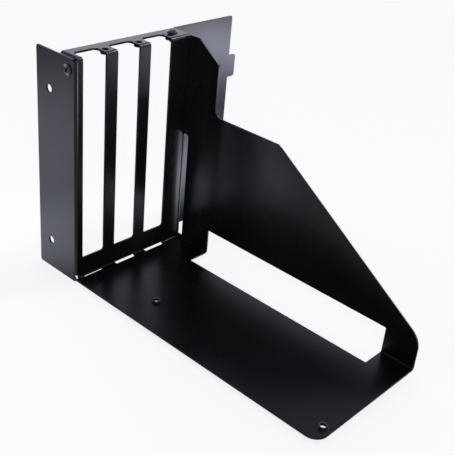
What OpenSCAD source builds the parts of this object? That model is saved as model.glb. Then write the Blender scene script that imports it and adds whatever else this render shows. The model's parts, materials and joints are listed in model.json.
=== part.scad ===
// Vertical graphics card mount: one sheet of steel, cut and folded into a floor, a slotted
// panel, a ledge, a side plate, a back wall and a rear plate, and closed by two screws.

/* [Sheet] */
// Thickness of the steel sheet
sheet = 1.0; // [0.8:0.1:1.2]
// Inner radius of every fold
bend_r = 0.7; // [0.5:0.1:1.0]
// Gap between two flaps of the folded sheet that lie side by side
flap_gap = 0.15; // [0.1:0.05:0.3]
// Radius of the round reliefs where three flaps meet
relief_r = 0.6; // [0.5:0.1:1]

/* [Base] */
// Length of the base, from the front of the slotted panel to the free end
base_l = 154.8; // [145:0.1:175]
// Width of the tray, from the outside of the side plate to the inside of the back wall
tray_w = 70.1; // [68:0.1:80]
// How far the base stands out past the side plate
front_lip = 0.5; // [0.2:0.1:1]
// Radius of the free corner of the base
base_corner_r = 6.5; // [3:0.5:7]
// How far the side plate and the rear plate reach below the base
plate_drop = 1.3; // [1:0.1:2]

/* [Slotted panel] */
// Height from the top of the base to the top of the ledge
panel_h = 114.2; // [110:0.1:120]
// Number of slot windows
slots = 3; // [2:1:3]
// Distance from one slot window to the next
slot_pitch = 20.32; // [20.2:0.02:20.5]
// Outside of the side plate to the first window
first_slot_y = 4.2; // [3.9:0.1:4.6]
// Width of a slot window
slot_w = 13.4; // [13:0.1:14.2]
// Top of the base to the sill of the windows
sill_h = 10.7; // [9:0.1:14]
// Radius of the window corners
slot_corner_r = 1.3; // [0.5:0.1:2]
// Radius of the corners of the notches in the ledge
notch_corner_r = 2.2; // [0.5:0.1:3]
// Width of the slots that take the tongues of the card brackets
tongue_w = 13; // [12:0.1:14]
// Width of the first tongue slot, which is shorter
first_tongue_w = 11.6; // [11:0.1:13]
// Start of a window to the start of its tongue slot
tongue_y = 0.7; // [0:0.1:1]
// Reach of the tongue slots over the base
tongue_reach = 1.7; // [1.5:0.1:2.5]
// Reach of the first tongue slot, which is narrower
first_tongue_reach = 1; // [0.9:0.1:1.5]
// Height to which the tongue slots cut up into the fold
tongue_rise = 0.2; // [0.1:0.1:0.6]

/* [Ledge] */
// Depth of the ledge, back from the front of the panel
ledge_d = 12.9; // [12:0.1:15]
// Depth of the notch that each window cuts into the ledge
notch_d = 8.1; // [7:0.1:9]
// Diameter of the tapped holes for the screws of the card brackets
tap_d = 3.3; // [2.8:0.1:3.5]
// Front of the panel to the centres of the tapped holes
tap_x = 4.2; // [3.8:0.1:4.6]
// Edge of a window to the centre of the tapped hole beside it
tap_y = 2.5; // [2.5:0.1:3.5]
// Outside diameter of the collar drawn round a tapped hole
collar_d = 4.6; // [4.2:0.1:4.8]
// Height of the collar drawn round a tapped hole
collar_h = 1.1; // [0.8:0.1:1.5]
// Radius of the rounded mouth where the sheet is drawn into a collar
mouth_r = 0.3; // [0.1:0.05:0.4]
// Length of the tab that the ledge turns down inside the side plate
tab_h = 12.0; // [10:0.5:16]

/* [Side plate] */
// Reach of the side plate behind the front of the panel
side_l = 29.1; // [27:0.1:36]
// Top of the ledge to the top edge of the side plate
side_top_drop = 0.8; // [0.5:0.1:1]
// Diameter of the two fixing holes
fix_d = 3.9; // [3.4:0.1:4.5]
// Front of the panel to the centres of the fixing holes
fix_x = 19.9; // [18:0.1:24]
// Top of the base to the centre of the lower fixing hole
fix_z = 13.6; // [10:0.1:20]
// Distance between the two fixing holes
fix_pitch = 81.0; // [76:0.5:86]

/* [Back wall] */
// Length of the high part of the wall, in front of the panel
high_l = 21.1; // [18:0.1:30]
// Height of the low part of the wall
low_h = 77.8; // [70:0.1:85]
// Length of the wall up to the start of its slope
flat_l = 62.8; // [50:0.1:75]
// Angle of the slopes of the wall
slope = 33.9; // [28:0.1:36]
// Length of the short slope, along the wall
short_slope_l = 14.6; // [10:0.1:16]
// Radius between the long slope and the free end of the wall
nose_r = 10.5; // [8:0.5:22]
// Radius of the small corners of the wall
wall_corner_r = 4; // [2:0.5:5]
// Width of the tall slot beside the panel
tall_slot_w = 3.4; // [3:0.1:5]
// Front of the panel to the tall slot
tall_slot_x = 0.3; // [0.2:0.1:2]
// Top of the base to the lower end of the tall slot
tall_slot_z = 1.7; // [1.6:0.1:4]
// Top of the base to the upper end of the tall slot
tall_slot_top = 61.9; // [50:0.1:70]

/* [Cable opening] */
// Front of the panel to the near end of the cable opening
cable_x = 22.9; // [15:0.1:30]
// Length of the cable opening
cable_l = 114.4; // [90:0.1:118]
// Reach of the cable opening into the base
cable_base = 12.4; // [10:0.1:16]
// Height of the cable opening in the wall
cable_wall = 13.4; // [8:0.1:14]
// Radius of the corners of the cable opening
cable_corner_r = 0.5; // [0.4:0.1:4]

/* [Rear plate] */
// Width of the rear plate, from the inside of the back wall to its free edge
rear_w = 45.1; // [35:0.1:55]
// How far the hook stands out past the free edge
hook_l = 5.1; // [3:0.1:7]
// Height of the hook along the free edge
hook_h = 12.5; // [8:0.1:16]
// Top of the base to the lower side of the hook
hook_z = 79.6; // [60:0.1:90]
// Radius of the corners of the hook
hook_corner_r = 1.6; // [0.5:0.1:2]
// Radius of the free corners of the plates
plate_corner_r = 1.2; // [0.5:0.1:2]

/* [Base studs] */
// Front of the panel to the centre of the first raised tapped hole
stud_1_x = 40.4; // [35:0.1:50]
// Outside of the side plate to the centre of the first raised tapped hole
stud_1_y = 17.5; // [12:0.1:25]
// Free end of the base to the centre of the second raised tapped hole
stud_2_x = 4.3; // [4:0.1:10]
// Outside of the side plate to the centre of the second raised tapped hole
stud_2_y = 8.5; // [8:0.1:16]

/* [Screws] */
// Diameter of the screw heads
head_d = 5.4; // [5:0.1:6]
// Height of the screw heads
head_h = 1.3; // [1.1:0.1:1.6]
// Height of the straight rim of the screw heads
rim_h = 0.5; // [0.3:0.1:0.6]
// Length of the screws below the head
shank_l = 4.6; // [4:0.1:6]
// Gap round the shank in its tapped hole
shank_gap = 0.05; // [0.05:0.05:0.1]
// Gap round the shank in its clearance hole
pass_gap = 0.3; // [0.2:0.05:0.4]
// Width of the arms of the cross recess
recess_w = 0.7; // [0.5:0.1:0.9]
// Length of the cross recess from tip to tip
recess_l = 3.0; // [2.4:0.1:3.2]
// Depth of the cross recess
recess_deep = 0.8; // [0.6:0.1:1]
// Front of the panel to the side screw
side_screw_x = 5.9; // [5.5:0.1:8]
// Top of the ledge to the side screw
side_screw_drop = 6.5; // [6:0.1:9]
// Front of the panel to the ledge screw
ledge_screw_x = 7.2; // [6.5:0.1:8.5]
// Inside of the back wall to the ledge screw
ledge_screw_y = 4.9; // [4.7:0.1:5.2]

/* [Hidden] */
// A hair that carries a cut past the face that it opens
eps = 0.01;
// Outer radius of a fold
fold_r = bend_r + sheet;
// Levels of the sheet: underside of the base, lowest edge and underside of the ledge
base_z = -sheet;
foot_z = base_z - plate_drop;
ledge_z = panel_h - sheet;
// Right-hand edge of the panel, clear of the wall
panel_y = tray_w - flap_gap;
// Outer face of the wall, to which the ledge and the foot of the panel run
wall_y = tray_w + sheet;
// Outer face of the tab inside the side plate
tab_y = sheet + flap_gap;
// Top of the wall flange under the ledge
flange_z = ledge_z - flap_gap;
// Length of the flange, in from the wall
flange_l = ledge_screw_y + 3.8;
// Clearance between the end of a fold and the flap across it
slit = 0.5;
// Front of the folds of the tab and the flange, clear of the ledge fold
slit_x = -fold_r - slit;
// Start of the rear fold, behind the panel
rear_x = -(ledge_d - bend_r);
// Free edge of the rear plate
rear_y = tray_w + rear_w;
// Diameter of the screw shanks
shank_d = tap_d - 2 * shank_gap;
// Middle and lowest point of the whole mount, which move its origin to the bottom centre
mid_x = (base_l - side_l) / 2;
mid_y = (rear_y + hook_l - head_h) / 2;

// Point at distance l from p in direction a
function along(p, a, l) = [p[0] + l * cos(a), p[1] + l * sin(a)];

// Fillet of radius r at corner p, between the edges that leave p at angles a and b
module fillet(p, a, b, r) {
    half = abs(b - a) / 2;
    mid = (a + b) / 2;
    reach = r / tan(half);
    centre = along(p, mid, r / sin(half));
    difference() {
        polygon([along(p, mid, -eps), along(p, a, reach), centre, along(p, b, reach)]);
        translate(centre) circle(r = r, $fn = 64);
    }
}

// Flat shape from corner p to corner q with round corners of radius r
module round_rect(p, q, r) {
    difference() {
        translate(p) square([q[0] - p[0], q[1] - p[1]]);
        fillet(p, 0, 90, r);
        fillet([q[0], p[1]], 90, 180, r);
        fillet(q, 180, 270, r);
        fillet([p[0], q[1]], -90, 0, r);
    }
}

// Flat shape in the XZ plane, from y to y + t
module upright_x(y, t) {
    translate([0, y + t, 0]) rotate([90, 0, 0]) linear_extrude(t) children();
}

// Flat shape in the YZ plane, from x to x + t
module upright_y(x, t) {
    translate([x, 0, 0]) rotate([90, 0, 90]) linear_extrude(t) children();
}

// Quarter of a fold, in the corner between the second and the third quadrant of its profile
module fold_profile() {
    difference() {
        intersection() {
            circle(r = fold_r, $fn = 64);
            translate([-fold_r - eps, -fold_r - eps]) square(fold_r + eps);
        }
        circle(r = bend_r, $fn = 64);
    }
}

// Fold along X between x and x_end, round the line through [y, z], turned by a
module fold_x(x, x_end, y, z, a) {
    translate([x, y, z]) rotate([90, 0, 90]) linear_extrude(x_end - x) rotate(a) fold_profile();
}

// Fold along Y between y and y_end, round the line through [x, z], turned by a
module fold_y(y, y_end, x, z, a) {
    translate([x, y_end, z]) rotate([90, 0, 0]) linear_extrude(y_end - y) rotate(a) fold_profile();
}

// Fold along Z between z and z_end, round the line through [x, y], turned by a
module fold_z(z, z_end, x, y, a) {
    translate([x, y, z]) linear_extrude(z_end - z) rotate(a) fold_profile();
}

// Places its children at each slot window in turn
module at_slots() {
    for (i = [0:slots - 1]) translate([0, first_slot_y + i * slot_pitch, 0]) children();
}

// Base plate: flat floor with a round free corner
module base_plate() {
    translate([0, 0, base_z]) linear_extrude(sheet) difference() {
        union() {
            translate([bend_r, -front_lip]) square([base_l - bend_r, tray_w - bend_r + front_lip]);
            translate([0, -front_lip]) square([bend_r + eps, front_lip + sheet]);
        }
        fillet([base_l, -front_lip], 90, 180, base_corner_r);
    }
}

// Slotted panel, with the folds to the base and to the side plate
module slotted_panel() {
    upright_y(-sheet, sheet) translate([fold_r, bend_r])
        square([panel_y - fold_r, panel_h - fold_r - bend_r]);
    fold_y(sheet + slit, wall_y, bend_r, bend_r, 0);
    fold_z(bend_r + slit, panel_h - fold_r, -fold_r, fold_r, 90);
}

// Ledge along the top of the panel, with its fold and the tab inside the side plate
module ledge() {
    translate([0, 0, ledge_z]) linear_extrude(sheet) difference() {
        union() {
            translate([-ledge_d, tab_y + fold_r])
                square([ledge_d - fold_r, wall_y - tab_y - fold_r]);
            translate([slit_x + slit / 2, tab_y])
                square([slit / 2, fold_r + slit]);
        }
        fillet([-ledge_d, wall_y], -90, 0, slot_corner_r);
    }
    fold_y(tab_y, wall_y, -fold_r, panel_h - fold_r, 180);
    fold_x(-ledge_d, slit_x, tab_y + fold_r, panel_h - fold_r, -90);
    upright_x(tab_y, sheet) difference() {
        translate([-ledge_d, panel_h - fold_r - tab_h]) square([ledge_d + slit_x, tab_h]);
        fillet([-ledge_d, panel_h - fold_r - tab_h], 0, 90, plate_corner_r);
        fillet([slit_x, panel_h - fold_r - tab_h], 90, 180, plate_corner_r);
    }
}

// Side plate, folded back from the panel, with a toe below the relief
module side_plate() {
    top = panel_h - side_top_drop;
    upright_x(0, sheet) difference() {
        union() {
            translate([-side_l, foot_z]) square([side_l - fold_r, top - foot_z]);
            translate([-fold_r - eps, foot_z]) square([fold_r + eps - slit / 2, plate_drop + sheet]);
        }
        fillet([-side_l, foot_z], 0, 90, plate_corner_r);
        fillet([-side_l, top], -90, 0, plate_corner_r);
        fillet([-fold_r, top], 180, 270, plate_corner_r);
        fillet([-slit / 2, foot_z], 90, 180, plate_corner_r);
    }
}

// Outline of the back wall: high beside the panel, stepped down, then sloping to the free end
module wall_outline() {
    top_l = high_l - short_slope_l;
    high_end = [high_l, panel_h - short_slope_l * tan(slope)];
    nose = [base_l, low_h - (base_l - flat_l) * tan(slope)];
    notch_z = panel_h - fold_r - flap_gap;
    difference() {
        union() {
            polygon([[-fold_r, bend_r], [base_l, bend_r], nose, [flat_l, low_h],
                [high_l, low_h], high_end, [top_l, panel_h], [flap_gap, panel_h],
                [flap_gap, notch_z], [-fold_r, notch_z]]);
            translate([rear_x, foot_z])
                square([-rear_x - slit / 2, flange_z - fold_r - foot_z]);
            fillet([high_l, low_h], 0, 90, wall_corner_r);
        }
        fillet(nose, 180 - slope, 270, nose_r);
        fillet([flat_l, low_h], 180, 360 - slope, wall_corner_r);
        fillet(high_end, 180 - slope, 270, wall_corner_r / 2);
        fillet([top_l, panel_h], 180, 360 - slope, wall_corner_r);
    }
}

// Back wall, with its fold to the base and the flange that carries the ledge
module back_wall() {
    upright_x(tray_w, sheet) wall_outline();
    fold_x(bend_r, base_l, tray_w - bend_r, bend_r, 90);
    fold_x(rear_x, slit_x, tray_w - bend_r, flange_z - fold_r, 180);
    translate([0, 0, flange_z - sheet]) linear_extrude(sheet) difference() {
        translate([rear_x, tray_w - flange_l])
            square([slit_x - rear_x, flange_l - bend_r]);
        fillet([rear_x, tray_w - flange_l], 0, 90, plate_corner_r);
        fillet([slit_x, tray_w - flange_l], 90, 180, plate_corner_r);
    }
}

// Rear plate, folded outward from the wall, with the hook on its free edge
module rear_plate() {
    start_y = tray_w + sheet + bend_r;
    top = panel_h - slit / 4;
    fold_z(foot_z, flange_z - fold_r - slit, rear_x, start_y, 0);
    upright_y(-ledge_d - sheet, sheet) difference() {
        union() {
            translate([start_y, foot_z]) square([rear_y - start_y, top - foot_z]);
            round_rect([rear_y - hook_l, hook_z], [rear_y + hook_l, hook_z + hook_h], hook_corner_r);
        }
        translate([start_y - eps, flange_z - fold_r - slit]) square([slit + eps, fold_r * 3]);
        fillet([rear_y, foot_z], 90, 180, plate_corner_r);
        fillet([rear_y, top], 180, 270, plate_corner_r);
    }
}

// Collar, drawn from the sheet: it stands up from z = 0
module collar() {
    translate([0, 0, -eps]) cylinder(d = collar_d, h = collar_h + eps, $fn = 48);
}

// Tapped hole of a collar, with its rounded mouth on the other side of the sheet
module tapped_hole() {
    mouth = tap_d / 2 + mouth_r;
    translate([0, 0, -sheet - eps])
        cylinder(d = tap_d, h = sheet + collar_h + 2 * eps, $fn = 48);
    translate([0, 0, -sheet]) rotate_extrude($fn = 48) difference() {
        translate([0, -eps]) square([mouth, mouth_r + eps]);
        translate([mouth, mouth_r]) circle(r = mouth_r, $fn = 48);
    }
}

// Places its children at the three bracket holes, upside down under the ledge
module at_ledge_holes() {
    at_slots() translate([-tap_x, slot_w + tap_y, ledge_z]) rotate([180, 0, 0]) children();
}

// Places its children at the two raised holes of the base
module at_studs() {
    translate([stud_1_x, stud_1_y, 0]) children();
    translate([base_l - stud_2_x, stud_2_y, 0]) children();
}

// Places its children at the back of the tab, under the side screw
module at_tab_hole() {
    translate([-side_screw_x, tab_y + sheet, panel_h - side_screw_drop])
        rotate([-90, 0, 0]) children();
}

// Places its children under the flange, below the ledge screw
module at_flange_hole() {
    translate([-ledge_screw_x, tray_w - ledge_screw_y, flange_z - sheet])
        rotate([180, 0, 0]) children();
}

// Window of one slot: through the panel, round the fold and into the ledge
module slot_window() {
    upright_y(-sheet - eps, sheet + 2 * eps)
        round_rect([0, sill_h], [slot_w, panel_h + fold_r], slot_corner_r);
    translate([0, 0, panel_h - fold_r - eps]) linear_extrude(fold_r * 2)
        round_rect([-notch_d, 0], [notch_corner_r, slot_w], notch_corner_r);
}

// Slots at the foot of the panel for the tongues of the card brackets
module tongue_slots() {
    start_y = first_slot_y + tongue_y;
    depth = sheet + eps + tongue_rise;
    translate([-flap_gap, start_y, base_z - eps])
        cube([first_tongue_reach + flap_gap, first_tongue_w, depth]);
    for (i = [1:slots - 1])
        translate([-sheet - eps, start_y + i * slot_pitch, base_z - eps])
            cube([tongue_reach + sheet + eps, tongue_w, depth]);
}

// Opening for the riser cable: a pocket in the base that runs on up the wall
module cable_opening() {
    translate([0, 0, base_z - eps]) linear_extrude(fold_r + 2 * eps)
        round_rect([cable_x, tray_w - cable_base], [cable_x + cable_l, tray_w + fold_r * 3],
            cable_corner_r);
    upright_x(tray_w - bend_r - eps, fold_r + 2 * eps)
        round_rect([cable_x, -fold_r * 3], [cable_x + cable_l, cable_wall], cable_corner_r);
}

// Tall slot in the wall, behind the edge of the panel: square below and round above
module tall_slot() {
    upright_x(tray_w - eps, sheet + 2 * eps) translate([tall_slot_x, 0]) {
        round_rect([0, tall_slot_z], [tall_slot_w, tall_slot_top], tall_slot_w / 2 - eps);
        translate([0, tall_slot_z]) square(tall_slot_w);
    }
}

// Holes of the side plate: two fixing holes and the clearance hole of the screw
module side_holes() {
    for (z = [fix_z, fix_z + fix_pitch])
        translate([-fix_x, -eps, z]) rotate([-90, 0, 0])
            cylinder(d = fix_d, h = sheet + 2 * eps, $fn = 48);
    translate([-side_screw_x, -eps, panel_h - side_screw_drop]) rotate([-90, 0, 0])
        cylinder(d = shank_d + 2 * pass_gap, h = sheet + 2 * eps, $fn = 48);
}

// Clearance hole of the ledge screw
module ledge_screw_hole() {
    translate([-ledge_screw_x, tray_w - ledge_screw_y, ledge_z - eps])
        cylinder(d = shank_d + 2 * pass_gap, h = sheet + 2 * eps, $fn = 48);
}

// Round relief where the folds meet at the lower corner of the panel and the side plate
module corner_relief() {
    translate([-relief_r / 2, relief_r, base_z - eps])
        cylinder(r = relief_r, h = fold_r + slit, $fn = 48);
}

module mount_origin() {
    translate([-mid_x, -mid_y, -foot_z]) children();
}

// The whole folded sheet
module folded_bracket() {
    color("#202128") mount_origin() difference() {
        union() {
            base_plate();
            slotted_panel();
            ledge();
            side_plate();
            back_wall();
            rear_plate();
            at_ledge_holes() collar();
            at_studs() collar();
            at_tab_hole() collar();
            at_flange_hole() collar();
        }
        at_slots() slot_window();
        tongue_slots();
        cable_opening();
        tall_slot();
        side_holes();
        ledge_screw_hole();
        corner_relief();
        at_ledge_holes() tapped_hole();
        at_studs() tapped_hole();
        at_tab_hole() tapped_hole();
        at_flange_hole() tapped_hole();
    }
}

// Pan head screw with a cross recess: the head stands on z = 0 and the shank hangs below
module pan_screw() {
    dome = head_h - rim_h;
    dome_r = (head_d * head_d / 4 + dome * dome) / (2 * dome);
    difference() {
        union() {
            cylinder(d = head_d, h = rim_h, $fn = 48);
            intersection() {
                translate([0, 0, head_h - dome_r]) sphere(r = dome_r, $fn = 64);
                translate([0, 0, rim_h - eps]) cylinder(d = head_d, h = head_h, $fn = 48);
            }
            translate([0, 0, -shank_l]) cylinder(d = shank_d, h = shank_l + eps, $fn = 48);
        }
        for (a = [0, 90]) rotate(a)
            translate([-recess_l / 2, -recess_w / 2, head_h - recess_deep])
                cube([recess_l, recess_w, recess_deep + eps]);
    }
}

module side_screw() {
    color("#101014") mount_origin()
        translate([-side_screw_x, 0, panel_h - side_screw_drop])
            rotate([90, 45, 0]) pan_screw();
}

module ledge_screw() {
    color("#101014") mount_origin()
        translate([-ledge_screw_x, tray_w - ledge_screw_y, panel_h])
            rotate(20) pan_screw();
}

folded_bracket();
side_screw();
ledge_screw();
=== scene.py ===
import json

import bpy
import bmesh
import numpy as np
from mathutils import Matrix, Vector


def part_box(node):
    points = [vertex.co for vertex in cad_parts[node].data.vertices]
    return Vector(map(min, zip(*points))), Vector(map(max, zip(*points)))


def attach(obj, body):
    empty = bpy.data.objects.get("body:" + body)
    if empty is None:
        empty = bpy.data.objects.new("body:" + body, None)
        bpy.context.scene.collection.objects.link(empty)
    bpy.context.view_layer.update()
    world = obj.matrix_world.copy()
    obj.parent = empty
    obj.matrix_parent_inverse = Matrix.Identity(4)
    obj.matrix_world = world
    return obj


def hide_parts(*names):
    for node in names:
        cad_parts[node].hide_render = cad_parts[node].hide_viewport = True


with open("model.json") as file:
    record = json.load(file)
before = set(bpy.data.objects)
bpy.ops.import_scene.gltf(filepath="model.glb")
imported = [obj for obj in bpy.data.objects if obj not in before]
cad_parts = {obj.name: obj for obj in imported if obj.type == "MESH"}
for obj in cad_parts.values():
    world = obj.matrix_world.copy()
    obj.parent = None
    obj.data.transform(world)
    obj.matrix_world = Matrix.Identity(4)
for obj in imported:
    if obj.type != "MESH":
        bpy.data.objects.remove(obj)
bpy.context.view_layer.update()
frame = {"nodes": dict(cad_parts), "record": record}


# The folded bracket: one sheet of steel, 1 mm thick, cut to its outline and folded into
# base, slotted panel, ledge, side plate, back wall and rear plate. The coat of powder paint
# rounds every cut edge a little, so each rim catches a thin line of light. All is in metres.
EDGE_ROUND = 0.00014
SHARP_TURN = 0.7
LEAST_APART = np.radians(14)
FLAT_TURN = 0.004
MERGE_REACH = 1e-6
COAT_BLACK = (0.0026, 0.0031, 0.0050, 1)
COAT_EDGE = (0.016, 0.017, 0.021, 1)


def link(tree, start, end):
    """Joins the output socket start to the input socket end of a node tree."""
    tree.links.new(start, end)


def noise(tree, place, scale, detail):
    """Value from 0 to 1 that wanders over a surface, about scale times in a metre."""
    node = tree.nodes.new("ShaderNodeTexNoise")
    node.inputs["Scale"].default_value = scale
    node.inputs["Detail"].default_value = detail
    link(tree, place, node.inputs["Vector"])
    return node.outputs["Fac"]


def drifting_tone(tree, value, colour, depth, shade):
    """Lets a base colour go with value from shade below the colour to shade above it."""
    tone = tree.nodes.new("ShaderNodeMix")
    tone.data_type = "RGBA"
    tone.inputs[6].default_value = [c * (1 - depth) for c in colour[:3]] + [1]
    tone.inputs[7].default_value = [c * (1 + shade) for c in colour[:3]] + [1]
    link(tree, value, tone.inputs[0])
    link(tree, tone.outputs[2], tree.nodes["Principled BSDF"].inputs["Base Color"])


def drifting_gloss(tree, value, roughness, swing):
    """Lets the roughness go with value from roughness less swing to roughness plus swing."""
    gloss = tree.nodes.new("ShaderNodeMapRange")
    gloss.inputs["To Min"].default_value = roughness - swing
    gloss.inputs["To Max"].default_value = roughness + swing
    link(tree, value, gloss.inputs["Value"])
    link(tree, gloss.outputs["Result"], tree.nodes["Principled BSDF"].inputs["Roughness"])


def raised(tree, value, strength, height):
    """Bump: value is read as a height over the surface, in metres at full strength."""
    bump = tree.nodes.new("ShaderNodeBump")
    bump.inputs["Strength"].default_value = strength
    bump.inputs["Distance"].default_value = height
    link(tree, value, bump.inputs["Height"])
    link(tree, bump.outputs["Normal"], tree.nodes["Principled BSDF"].inputs["Normal"])


def coat_material(name, colour, roughness, grain):
    """Powder paint: a dark satin skin whose fine orange peel is two noises added as bump.

    The tone and the gloss drift slowly over the sheet, by a third noise some 30 mm wide.
    """
    mat = bpy.data.materials.new(name)
    mat.use_nodes = True
    tree = mat.node_tree
    skin = tree.nodes["Principled BSDF"]
    place = tree.nodes.new("ShaderNodeTexCoord").outputs["Object"]
    drift = noise(tree, place, 34, 3)
    drifting_tone(tree, drift, colour, 0.18, 0.22)
    drifting_gloss(tree, drift, roughness, 0.035)
    relief = tree.nodes.new("ShaderNodeMath")
    relief.operation = "MULTIPLY_ADD"
    relief.inputs[1].default_value = 0.35
    link(tree, noise(tree, place, 5200, 2), relief.inputs[0])
    link(tree, noise(tree, place, 1500, 2), relief.inputs[2])
    raised(tree, relief.outputs[0], grain, 0.00004)
    skin.inputs["IOR"].default_value = 1.5
    skin.inputs["Specular IOR Level"].default_value = 0.95
    skin.inputs["Coat Weight"].default_value = 0.55
    skin.inputs["Coat Roughness"].default_value = 0.22
    return mat


powder_coat = coat_material("powder_coat", COAT_BLACK, roughness=0.28, grain=0.3)
coat_on_edges = coat_material("coat_on_edges", COAT_EDGE, roughness=0.25, grain=0.2)


def rim_edges(form):
    """The edges to round: sharp ones, with no other edge that leaves an end beside them.

    Two edges that leave a vertex less than LEAST_APART from each other would cross as soon as
    they are pushed apart, so the shorter sharp one of the two is left as it is.
    """
    sharp = {edge for edge in form.edges if edge.calc_face_angle(0) > SHARP_TURN}
    for vertex in form.verts:
        rays = [(edge, (edge.other_vert(vertex).co - vertex.co).normalized())
                for edge in vertex.link_edges]
        for number, (edge, ray) in enumerate(rays):
            for other, other_ray in rays[:number]:
                pair = [one for one in (edge, other) if one in sharp]
                if pair and ray.angle(other_ray) < LEAST_APART:
                    sharp.discard(min(pair, key=lambda one: one.calc_length()))
    return list(sharp)


sheet_form = bmesh.new()
sheet_form.from_mesh(frame["nodes"]["folded_bracket"].data)
bmesh.ops.remove_doubles(sheet_form, verts=sheet_form.verts, dist=MERGE_REACH)
bmesh.ops.dissolve_limit(sheet_form, angle_limit=FLAT_TURN, verts=sheet_form.verts,
                         edges=sheet_form.edges)
bmesh.ops.bevel(sheet_form, geom=rim_edges(sheet_form), offset=EDGE_ROUND,
                offset_type="OFFSET", segments=2, profile=0.5, affect="EDGES",
                clamp_overlap=False, loop_slide=False, material=1)
bmesh.ops.triangulate(sheet_form, faces=sheet_form.faces)
sheet_mesh = bpy.data.meshes.new("folded_sheet")
sheet_form.to_mesh(sheet_mesh)
sheet_form.free()
sheet_mesh.shade_smooth()
sheet_mesh.materials.append(powder_coat)
sheet_mesh.materials.append(coat_on_edges)
folded_sheet = bpy.data.objects.new("folded_sheet", sheet_mesh)
bpy.context.collection.objects.link(folded_sheet)
flatness = folded_sheet.modifiers.new("flat_faces", "WEIGHTED_NORMAL")
flatness.weight = 100
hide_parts("folded_bracket")
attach(folded_sheet, "root")


# Tapped threads: the sheet is drawn into a short collar round each hole that takes a screw of
# a card bracket or of the riser card, and a fine thread is cut inside it and painted over. In
# the base the tap left the start of the bore bare. Sizes are in millimetres.
THREAD_PITCH = 0.7
THREAD_ROOT = 1.64
THREAD_DEPTH = 0.24
THREAD_BACK = 1.72
LEDGE_THREAD = (-1.6, 0.1)
BASE_THREAD = (-0.65, 0.55)
BASE_COLLAR_TOP = 1.1
BARE_BORE = 1.6
BARE_LIP = 0.08
BARE_BACK = 1.7


def grid_object(name, points, material, closed_along):
    """Object with a skin over points, an array of rows by columns by xyz in metres.

    Each face joins four neighbours. The columns run round into a ring, and so do the rows
    where closed_along is true. Points that meet at a pole are merged into one.
    """
    rows, columns = points.shape[:2]
    number = np.arange(rows * columns).reshape(rows, columns)
    upper = number if closed_along else number[:-1]
    lower = np.roll(number, -1, axis=0) if closed_along else number[1:]
    faces = np.stack([upper, lower, np.roll(lower, -1, axis=1), np.roll(upper, -1, axis=1)],
                     axis=-1).reshape(-1, 4)
    mesh = bpy.data.meshes.new(name)
    mesh.from_pydata(points.reshape(-1, 3), [], faces.tolist())
    form = bmesh.new()
    form.from_mesh(mesh)
    bmesh.ops.remove_doubles(form, verts=form.verts, dist=2 * MERGE_REACH)
    bmesh.ops.recalc_face_normals(form, faces=form.faces)
    form.to_mesh(mesh)
    form.free()
    mesh.shade_smooth()
    mesh.materials.append(material)
    piece = bpy.data.objects.new(name, mesh)
    bpy.context.collection.objects.link(piece)
    return piece


def thread_wave(height, turn):
    """Height of a thread over its root, from 0 to 1: a flat-topped wave that climbs one pitch
    while turn goes from 0 to 1."""
    phase = (height / THREAD_PITCH - turn) % 1
    return np.clip(1.6 - 3.2 * np.abs(phase - 0.5), 0, 1)


def ring_points(radius, level, turn):
    """Points of a turned form in metres: each row of radius and level, in millimetres, goes
    round the upright axis by turn, in parts of a full turn."""
    angle = 2 * np.pi * turn
    return np.stack([radius * np.cos(angle), radius * np.sin(angle), level + 0 * angle],
                    axis=-1) / 1000


def thread_lining(name, centre, low, high):
    """Ring of cut thread: its bore is the root radius less a wave, and its back lies in steel.

    The rows go up the bore and down the back, and the wave fades over half a pitch at each end.
    """
    turn = np.arange(72) / 72
    height = np.linspace(low, high, 60)[:, None]
    fade = np.clip(np.minimum(height - low, high - height) / (THREAD_PITCH / 2), 0, 1)
    bore = THREAD_ROOT - THREAD_DEPTH * fade * thread_wave(height, turn)
    radius = np.concatenate([bore, np.full((2, 72), THREAD_BACK)])
    level = np.concatenate([height, [[high], [low]]])
    points = ring_points(radius, level, turn) + np.array(centre)
    return grid_object(name, points, powder_coat, True)


def steel_material(name, colour, metal, roughness):
    """Steel under a thin dark finish: its gloss and tone drift with two noises, one as fine as
    the marks of the tool and one as wide as a fingertip."""
    mat = bpy.data.materials.new(name)
    mat.use_nodes = True
    tree = mat.node_tree
    skin = tree.nodes["Principled BSDF"]
    place = tree.nodes.new("ShaderNodeTexCoord").outputs["Object"]
    marks = noise(tree, place, 2600, 3)
    drifting_tone(tree, noise(tree, place, 420, 2), colour, 0.3, 0.3)
    drifting_gloss(tree, marks, roughness, 0.06)
    raised(tree, marks, 0.15, 0.00002)
    skin.inputs["Metallic"].default_value = metal
    return mat


def bore_start(name, centre):
    """Bare start of a bore: a band at the top of the bore, which a quarter round turns over at
    the lip of the collar, with its back in the steel."""
    bend = np.radians(np.linspace(0, 90, 8))
    low, lip = BASE_THREAD[1], BASE_COLLAR_TOP - 0.06
    radius = np.concatenate([[BARE_BORE, BARE_BORE], BARE_BORE + BARE_LIP * (1 - np.cos(bend)),
                             [BARE_BACK, BARE_BACK]])[:, None]
    level = np.concatenate([[low, lip - 0.14], lip + BARE_LIP * np.sin(bend),
                            [lip + 0.01, low]])[:, None]
    points = ring_points(radius, level, np.arange(72) / 72) + np.array(centre)
    return grid_object(name, points, cut_steel, True)


cut_steel = steel_material("cut_steel", (0.8, 0.8, 0.82, 1), metal=0.1, roughness=0.3)
for mount in frame["record"]["mounts"]:
    if mount["kind"] == "threaded_hole":
        name, centre = mount["name"], mount["pos_m"]
        in_base = name.startswith("riser")
        low, high = BASE_THREAD if in_base else LEDGE_THREAD
        turned = [thread_lining(name + "_thread", centre, low, high)]
        if in_base:
            turned.append(bore_start(name + "_bore", centre))
        for piece in turned:
            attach(piece, "root")


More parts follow.
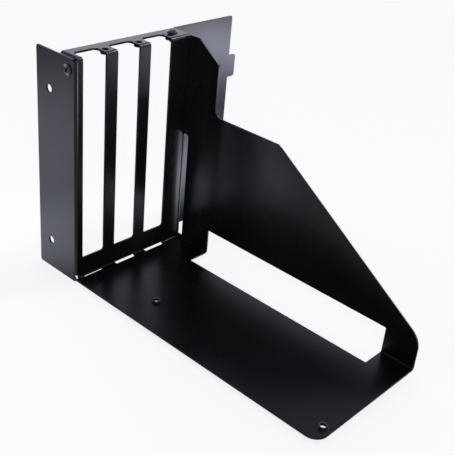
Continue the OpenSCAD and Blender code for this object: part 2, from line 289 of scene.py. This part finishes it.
# Screws: two pan head machine screws of blackened steel, with a pressed cross recess and a
# rolled thread. One holds the side plate to the tab inside it, the other the ledge to the
# flange of the back wall. Sizes are in millimetres.
HEAD_RADIUS = 2.69
HEAD_RIM = 0.5
HEAD_TOP = 1.27
HEAD_CORNER = 0.12
SHANK_LENGTH = 4.6
SHANK_ROOT = 1.3
SHANK_THREAD = 0.28
RECESS_DEPTH = 0.8
RECESS_REACH = 1.5
RECESS_END_RUN = 0.95
RECESS_HALF = 0.56
RECESS_SIDE_RUN = 0.44
# How fast the recess darkens with depth, partly for oxidised steel and partly as painted shade.
OXIDE_AND_SHADE_RISE = 1.6
CROWN_ROWS = 56
SIDE_TURN = 45
LEDGE_TURN = 20


def cross_recess(x, y):
    """Depth of the cross recess: the deeper of two crossed grooves, each of V section and
    rising towards its ends."""
    def groove(along, across):
        ends = np.clip((RECESS_REACH - np.abs(along)) / RECESS_END_RUN, 0, 1)
        sides = np.clip((RECESS_HALF - np.abs(across)) / RECESS_SIDE_RUN, 0, 1)
        return RECESS_DEPTH * ends * sides
    return np.maximum(groove(x, y), groove(y, x))


def screw_points(turned):
    """Skin of a screw in millimetres, from the top of the head down to the tip of the shank.

    The crown is a cap of a sphere less the recess, then come the rounded edge, the side, the
    flat underside and the shank, whose radius is the crest less the wave of the thread.
    """
    turn = np.arange(144) / 144
    cap = (HEAD_RADIUS ** 2 + (HEAD_TOP - HEAD_RIM) ** 2) / (2 * (HEAD_TOP - HEAD_RIM))
    crown = np.linspace(0, HEAD_RADIUS - HEAD_CORNER, CROWN_ROWS)
    dome = HEAD_TOP - cap + np.sqrt(cap ** 2 - crown ** 2)
    bend = np.radians(np.linspace(15, 90, 6))
    edge_r = crown[-1] + HEAD_CORNER * np.sin(bend)
    edge_z = dome[-1] - HEAD_CORNER * (1 - np.cos(bend))
    foot_r = [HEAD_RADIUS, HEAD_RADIUS, HEAD_RADIUS - 0.05, 2.2, SHANK_ROOT + SHANK_THREAD]
    foot_z = [0.25, 0.05, 0.0, 0.0, 0.0]
    shank_z = np.linspace(-0.06, -SHANK_LENGTH, 80)
    fade = np.clip(np.minimum(-0.2 - shank_z, shank_z + SHANK_LENGTH) / 0.5, 0, 1)[:, None]
    tip = np.clip((shank_z + SHANK_LENGTH) / 0.35, 0, 1)[:, None]
    wave = thread_wave(shank_z[:, None], turn)
    shank_r = SHANK_ROOT + SHANK_THREAD * ((1 - fade) * tip + fade * wave)
    radius = np.concatenate([crown, edge_r, foot_r])[:, None] + 0 * turn
    level = np.concatenate([dome, edge_z, foot_z])[:, None] + 0 * turn
    radius = np.concatenate([radius, shank_r, np.zeros((1, 144))])
    level = np.concatenate([level, shank_z[:, None] + 0 * turn, np.full((1, 144), -SHANK_LENGTH)])
    angle = 2 * np.pi * turn
    x, y = radius * np.cos(angle), radius * np.sin(angle)
    level[:CROWN_ROWS] -= cross_recess(x, y)[:CROWN_ROWS]
    swing = np.radians(turned)
    return np.stack([x * np.cos(swing) - y * np.sin(swing),
                     x * np.sin(swing) + y * np.cos(swing), level], axis=-1)


def darken_recess_oxide_and_shade(mat):
    """The crown is rubbed bright; the recess goes black with depth, as oxidised steel and painted
    shade.
    """
    tree = mat.node_tree
    bright = tree.nodes["Principled BSDF"].inputs["Base Color"]
    depth = tree.nodes.new("ShaderNodeAttribute")
    depth.attribute_name = "recess_depth"
    # Painted shade: the recess colour goes to black with depth, over the oxidised steel there.
    oxide_and_shade = tree.nodes.new("ShaderNodeMix")
    oxide_and_shade.data_type = "RGBA"
    oxide_and_shade.inputs[7].default_value = (0.004, 0.004, 0.005, 1)
    link(tree, depth.outputs["Fac"], oxide_and_shade.inputs[0])
    link(tree, bright.links[0].from_socket, oxide_and_shade.inputs[6])
    link(tree, oxide_and_shade.outputs[2], bright)


def mark_recess(screw, middle, across, up, turned):
    """Writes on each point of the head how deep the recess is there, from 0 to 1.

    The point's two coordinates across the head, from its middle, are turned back first. The
    depth rises to 1 before the bottom of the recess, by OXIDE_AND_SHADE_RISE, and sets the
    painted shade there.
    """
    points = np.empty(len(screw.data.vertices) * 3)
    screw.data.vertices.foreach_get("co", points)
    points = (points.reshape(-1, 3) - middle) * 1000
    swing = np.radians(turned)
    first, second = points[:, across[0]], points[:, across[1]]
    x = first * np.cos(swing) + second * np.sin(swing)
    y = second * np.cos(swing) - first * np.sin(swing)
    depth = cross_recess(x, y) / RECESS_DEPTH * (points @ np.array(up) > 0)
    mark = screw.data.attributes.new("recess_depth", "FLOAT", "POINT")
    mark.data.foreach_set("value", np.clip(depth * OXIDE_AND_SHADE_RISE, 0, 1).astype(np.float32))


black_steel = steel_material("black_steel", (0.3, 0.3, 0.3, 1), metal=1.0, roughness=0.24)
darken_recess_oxide_and_shade(black_steel)
low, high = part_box("side_screw")
seat = np.array(((low[0] + high[0]) / 2, high[1] - SHANK_LENGTH / 1000, (low[2] + high[2]) / 2))
side_points = screw_points(SIDE_TURN)[:, :, [0, 2, 1]] * (1, -1, 1) / 1000
pan_screw_side = grid_object("pan_screw_side", side_points + seat, black_steel, False)
mark_recess(pan_screw_side, seat, (0, 2), (0, -1, 0), SIDE_TURN)
low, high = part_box("ledge_screw")
seat = np.array(((low[0] + high[0]) / 2, (low[1] + high[1]) / 2, low[2] + SHANK_LENGTH / 1000))
ledge_points = screw_points(LEDGE_TURN) / 1000
pan_screw_ledge = grid_object("pan_screw_ledge", ledge_points + seat, black_steel, False)
mark_recess(pan_screw_ledge, seat, (0, 1), (0, 0, 1), LEDGE_TURN)
for screw, node in ((pan_screw_side, "side_screw"), (pan_screw_ledge, "ledge_screw")):
    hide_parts(node)
    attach(screw, "root")


# Studio: white paper under the mount, which shows white to the camera and keeps a faint
# shadow, a pale sky and two weak lamps. Pools of light are painted on the paper for mirrors only,
# and a dark card, seen by mirrors only, is painted shade that keeps the left ones out of the back
# wall.
PAPER_GLOW = 0.8
LEFT_PAINTED_POOLS = (((-0.105, -0.080), 0.07, 0.60), ((-0.160, -0.120), 0.09, 0.35),
              ((-0.250, -0.185), 0.16, 0.50))
REAR_PAINTED_POOLS = (((0.150, 0.295), 0.12, 5.50), ((-0.020, 0.090), 0.09, 1.80),
              ((-0.320, 0.370), 0.26, 1.00))
FRONT_PAINTED_POOLS = (((0.240, -0.060), 0.14, 4.00),)
CARD_X = (-0.32, -0.0935)
CARD_Y = -0.057
CARD_Z = (0.001, 0.14)
FLOOR_HALF = 3


def paper_material():
    """White paper that glows for the camera, with round pools of painted light that only mirrors
    see.

    A pool has a centre, a reach and a strength, and fades smoothly from the centre outward.
    The pools are a little cooler than the paper.
    """
    mat = bpy.data.materials.new("paper")
    mat.use_nodes = True
    tree = mat.node_tree
    skin = tree.nodes["Principled BSDF"]
    skin.inputs["Base Color"].default_value = (0.9, 0.89, 0.865, 1)
    skin.inputs["Roughness"].default_value = 0.9
    skin.inputs["Specular IOR Level"].default_value = 0.0
    rays = tree.nodes.new("ShaderNodeLightPath")
    hue = tree.nodes.new("ShaderNodeMix")
    hue.data_type = "RGBA"
    hue.inputs[6].default_value = (0.84, 0.87, 1.05, 1)
    hue.inputs[7].default_value = (1, 1, 1, 1)
    link(tree, rays.outputs["Is Camera Ray"], hue.inputs[0])
    link(tree, hue.outputs[2], skin.inputs["Emission Color"])
    seen = tree.nodes.new("ShaderNodeMath")
    seen.operation = "MULTIPLY"
    seen.inputs[1].default_value = PAPER_GLOW
    link(tree, rays.outputs["Is Camera Ray"], seen.inputs[0])
    ground = tree.nodes.new("ShaderNodeTexCoord").outputs["Object"]
    total = seen.outputs[0]
    # Painted light: each pool glows for glossy rays only, and no lamp lights it.
    for centre, reach, strength in LEFT_PAINTED_POOLS + REAR_PAINTED_POOLS + FRONT_PAINTED_POOLS:
        far = tree.nodes.new("ShaderNodeVectorMath")
        far.operation = "DISTANCE"
        far.inputs[1].default_value = (*centre, 0)
        link(tree, ground, far.inputs[0])
        fall = tree.nodes.new("ShaderNodeMapRange")
        fall.interpolation_type = "SMOOTHERSTEP"
        fall.inputs["From Max"].default_value = reach
        fall.inputs["To Min"].default_value = strength
        fall.inputs["To Max"].default_value = 0
        link(tree, far.outputs["Value"], fall.inputs["Value"])
        pool = tree.nodes.new("ShaderNodeMath")
        pool.operation = "MULTIPLY_ADD"
        link(tree, rays.outputs["Is Glossy Ray"], pool.inputs[0])
        link(tree, fall.outputs["Result"], pool.inputs[1])
        link(tree, total, pool.inputs[2])
        total = pool.outputs[0]
    link(tree, total, skin.inputs["Emission Strength"])
    return mat


def board(name, corners, material):
    """Flat four-cornered board of the studio, which is no part of the mount."""
    mesh = bpy.data.meshes.new(name)
    mesh.from_pydata(corners, [], [(0, 1, 2, 3)])
    mesh.materials.append(material)
    piece = bpy.data.objects.new(name, mesh)
    bpy.context.collection.objects.link(piece)
    return piece


board("floor", [(-FLOOR_HALF, -FLOOR_HALF, 0), (FLOOR_HALF, -FLOOR_HALF, 0),
                (FLOOR_HALF, FLOOR_HALF, 0), (-FLOOR_HALF, FLOOR_HALF, 0)], paper_material())
# Painted shade: a dark card that only mirrors see, which darkens the back wall's reflection of
# the left pools.
card_mat = bpy.data.materials.new("mirror_shade_card")
card_mat.use_nodes = True
card_skin = card_mat.node_tree.nodes["Principled BSDF"]
card_skin.inputs["Base Color"].default_value = (0.01, 0.01, 0.01, 1)
mirror_shade_card = board("mirror_shade_card", [(CARD_X[0], CARD_Y, CARD_Z[0]), (CARD_X[1], CARD_Y, CARD_Z[0]),
                                (CARD_X[1], CARD_Y, CARD_Z[1]), (CARD_X[0], CARD_Y, CARD_Z[1])],
                  card_mat)
mirror_shade_card.visible_camera = False
mirror_shade_card.visible_shadow = False
mirror_shade_card.visible_diffuse = False

world = bpy.data.worlds.new("studio")
bpy.context.scene.world = world
world.use_nodes = True
air = world.node_tree
air.nodes.clear()


def tone_ramp(value, stops):
    """Colour that follows value: stops are pairs of a place from 0 to 1 and a colour."""
    ramp = air.nodes.new("ShaderNodeValToRGB")
    ramp.color_ramp.interpolation = "EASE"
    for number, (place, colour) in enumerate(stops):
        if number > 1:
            ramp.color_ramp.elements.new(place)
        ramp.color_ramp.elements[number].position = place
        ramp.color_ramp.elements[number].color = (*colour, 1)
    link(air, value, ramp.inputs["Fac"])
    return ramp.outputs["Color"]


way = air.nodes.new("ShaderNodeTexCoord")
split = air.nodes.new("ShaderNodeSeparateXYZ")
link(air, way.outputs["Generated"], split.inputs[0])
by_height = tone_ramp(split.outputs["Z"], [
    (0.0, (0.80, 0.83, 0.95)), (1.0, (0.07, 0.075, 0.09)),
    (0.34, (0.80, 0.83, 0.97)), (0.53, (0.13, 0.14, 0.17))])
behind = air.nodes.new("ShaderNodeVectorMath")
behind.operation = "DOT_PRODUCT"
behind.inputs[1].default_value = (-0.325, 0.38, 0)
link(air, way.outputs["Generated"], behind.inputs[0])
shift = air.nodes.new("ShaderNodeMath")
shift.inputs[1].default_value = 0.5
link(air, behind.outputs["Value"], shift.inputs[0])
by_side = tone_ramp(shift.outputs[0], [(0.25, (0.1, 0.1, 0.11)), (0.8, (1.0, 1.0, 1.0))])
glow = air.nodes.new("ShaderNodeMix")
glow.data_type = "RGBA"
glow.blend_type = "MULTIPLY"
glow.inputs[0].default_value = 1
link(air, by_height, glow.inputs[6])
link(air, by_side, glow.inputs[7])
rays = air.nodes.new("ShaderNodeLightPath")
seen = air.nodes.new("ShaderNodeMix")
seen.data_type = "RGBA"
seen.inputs[7].default_value = (0.812, 0.815, 0.82, 1)
link(air, rays.outputs["Is Camera Ray"], seen.inputs[0])
link(air, glow.outputs[2], seen.inputs[6])
sky = air.nodes.new("ShaderNodeBackground")
sky.inputs["Strength"].default_value = 1.2
link(air, seen.outputs[2], sky.inputs["Color"])
out = air.nodes.new("ShaderNodeOutputWorld")
link(air, sky.outputs[0], out.inputs[0])


def soft_lamp(name, place, aim, width, watts, spread):
    """Square area lamp at place that faces aim, with a grid that narrows its cone to spread."""
    lamp = bpy.data.lights.new(name, "AREA")
    lamp.spread = np.radians(spread)
    lamp.shape = "SQUARE"
    lamp.size = width
    lamp.energy = watts
    lamp.color = (0.95, 0.97, 1)
    holder = bpy.data.objects.new(name, lamp)
    bpy.context.collection.objects.link(holder)
    back = np.array(place, float) - np.array(aim, float)
    back /= np.linalg.norm(back)
    side = np.cross((0.01, 0.02, 1), back)
    side /= np.linalg.norm(side)
    up = np.cross(back, side)
    turn = np.eye(4)
    turn[:3, 0], turn[:3, 1], turn[:3, 2], turn[:3, 3] = side, up, back, place
    holder.matrix_world = Matrix(turn.tolist())
    holder.visible_camera = False
    return holder


soft_lamp("lamp_high", place=(0.076, 0.437, 0.62), aim=(-0.064, -0.025, 0.115),
          width=0.1, watts=0.008, spread=22)
soft_lamp("lamp_front", place=(0.55, -0.6, 0.6), aim=(0.0, 0.0, 0.05),
          width=0.4, watts=0.25, spread=120)


# Camera: the photograph's own place and lens, worked out from the slot pitch and the
# straight edges of the sheet. It is rolled by about 5 degrees, as the photograph is.
LENS_PIXELS = 849.978
PHOTO_WIDTH = 455
camera_data = bpy.data.cameras.new("camera")
camera_data.sensor_width = 36
camera_data.lens = camera_data.sensor_width * LENS_PIXELS / PHOTO_WIDTH
camera_data.clip_start = 0.01
camera = bpy.data.objects.new("camera", camera_data)
bpy.context.collection.objects.link(camera)
camera.matrix_world = Matrix((
    (0.7266572, -0.3882552, 0.5667691, 0.224613),
    (0.6816457, 0.3046658, -0.6652352, -0.283962),
    (0.0856059, 0.8697336, 0.4860401, 0.238803),
    (0, 0, 0, 1)))
bpy.context.scene.camera = camera
bpy.context.scene.view_settings.view_transform = "Standard"
